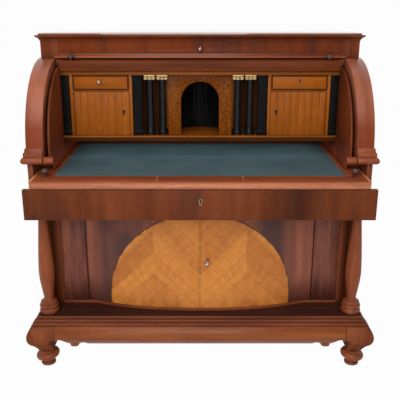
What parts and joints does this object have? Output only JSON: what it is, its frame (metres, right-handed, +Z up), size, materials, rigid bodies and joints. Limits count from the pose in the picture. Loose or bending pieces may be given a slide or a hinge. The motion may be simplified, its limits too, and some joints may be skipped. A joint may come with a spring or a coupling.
{
  "type": "cylinder desk",
  "caption": "Cylinder desk with arched sides, a turning quarter-round lid over a fitted interior, a leather-topped writing slide, a frieze drawer and a bow-front cupboard on turned feet.",
  "frame": {"origin": "on the floor, under the middle of the box round the desk with its slide part out", "axes": "+Z up, +X to the right of someone who sits at it, +Y to the back"},
  "size_m": [1.34, 0.75, 1.2495],
  "materials": {
    "mahogany": "french polished",
    "flame_mahogany": "french polished flame veneer",
    "dark_wood": "polished",
    "carcass_wood": "plain oiled softwood",
    "pale_wood": "waxed",
    "lunette_veneer": "french polished chevron veneer",
    "birch": "french polished",
    "burl": "french polished burl veneer",
    "ebonised_wood": "ebonised gloss",
    "gilt": "worn gilding",
    "leather": "smooth",
    "iron": "blackened",
    "brass": "aged",
    "steel": "worn"
  },
  "bodies": {
    "case": {"plinth_board": "mahogany", "base_rail_sides": "mahogany", "base_rail_back": "mahogany", "front_leg_right": "mahogany", "front_leg_left": "mahogany", "front_feet": "mahogany", "rear_feet": "mahogany", "corner_posts": "mahogany", "end_panels": "mahogany", "lower_sides": "mahogany", "column_right": "mahogany", "column_left": "mahogany", "door_sill": "mahogany", "side_rails": "mahogany", "string_mouldings": "mahogany", "arch_side_right": "mahogany", "arch_side_left": "mahogany", "drawer_bed": "mahogany", "cornice_ends": "mahogany", "top_board": "mahogany", "linings": "mahogany", "base_rail_front": "flame_mahogany", "mid_board": "carcass_wood", "cabinet_shelf": "carcass_wood", "back_panels": "carcass_wood", "gallery_back": "carcass_wood", "gallery_floor": "birch", "gallery_top": "birch", "gallery_partitions": "birch", "niche_panel": "burl", "pilasters": "ebonised_wood", "gallery_columns": "ebonised_wood", "niche_shell": "ebonised_wood", "gilt_capitals": "gilt", "pivot_pins": "iron", "door_pins": "iron"},
    "cylinder": {"cylinder_shell": "mahogany", "cylinder_rail": "mahogany", "cylinder_arms": "iron", "cylinder_knobs": "dark_wood"},
    "writing_slide": {"writing_board": "mahogany", "leather_panel": "leather", "apron": "flame_mahogany", "slide_lock": "brass", "slide_sides": "pale_wood", "slide_knobs": "dark_wood"},
    "frieze_drawer": {"frieze_front": "flame_mahogany", "frieze_box": "carcass_wood"},
    "frieze_drawer_key": {"frieze_key": "steel"},
    "cabinet_door_left": {"door_left": "flame_mahogany", "lunette_left": "lunette_veneer"},
    "cabinet_door_right": {"door_right": "flame_mahogany", "lunette_right": "lunette_veneer", "door_lock": "brass"},
    "cabinet_door_key": {"door_key": "steel"},
    "small_drawer_left": {"interior_drawer_left": "birch"},
    "small_drawer_right": {"interior_drawer_right": "birch"},
    "small_drawer_key": {"drawer_key": "steel"},
    "small_door_left": {"interior_door_left": "birch"},
    "small_door_right": {"interior_door_right": "birch"}
  },
  "joints": [
    {"name": "cylinder_turn", "type": "hinge", "parent": "case", "child": "cylinder", "pos_m": [0, 0.037, 0.845], "axis": [-1, 0, 0], "range_deg": [-93, 0]},
    {"name": "slide_pull", "type": "slide", "parent": "case", "child": "writing_slide", "axis": [0, -1, 0], "range_m": [-0.0755, 0.16]},
    {"name": "frieze_drawer_pull", "type": "slide", "parent": "case", "child": "frieze_drawer", "axis": [0, -1, 0], "range_m": [0, 0.2]},
    {"name": "cabinet_left_swing", "type": "hinge", "parent": "case", "child": "cabinet_door_left", "pos_m": [-0.437, -0.166, 0.41], "axis": [0, 0, -1], "range_deg": [0, 90]},
    {"name": "cabinet_right_swing", "type": "hinge", "parent": "case", "child": "cabinet_door_right", "pos_m": [0.437, -0.166, 0.41], "axis": [0, 0, 1], "range_deg": [0, 90]},
    {"name": "small_drawer_left_pull", "type": "slide", "parent": "case", "child": "small_drawer_left", "axis": [0, -1, 0], "range_m": [0, 0.1]},
    {"name": "small_drawer_right_pull", "type": "slide", "parent": "case", "child": "small_drawer_right", "axis": [0, -1, 0], "range_m": [0, 0.1]},
    {"name": "small_left_swing", "type": "hinge", "parent": "case", "child": "small_door_left", "pos_m": [-0.492, 0.007, 0.94], "axis": [0, 0, -1], "range_deg": [0, 90]},
    {"name": "small_right_swing", "type": "hinge", "parent": "case", "child": "small_door_right", "pos_m": [0.492, 0.007, 0.94], "axis": [0, 0, 1], "range_deg": [0, 90]},
    {"name": "cabinet_key_turn", "type": "hinge", "parent": "cabinet_door_right", "child": "cabinet_door_key", "pos_m": [0.027, -0.25, 0.42], "axis": [0, -1, 0], "range_deg": [-90, 90]},
    {"name": "frieze_key_turn", "type": "hinge", "parent": "frieze_drawer", "child": "frieze_drawer_key", "pos_m": [0, 0.005, 1.1935], "axis": [0, -1, 0], "range_deg": [-90, 90]},
    {"name": "small_key_turn", "type": "hinge", "parent": "small_drawer_left", "child": "small_drawer_key", "pos_m": [-0.3895, 0, 1.069], "axis": [0, -1, 0], "range_deg": [-90, 90]}
  ]
}
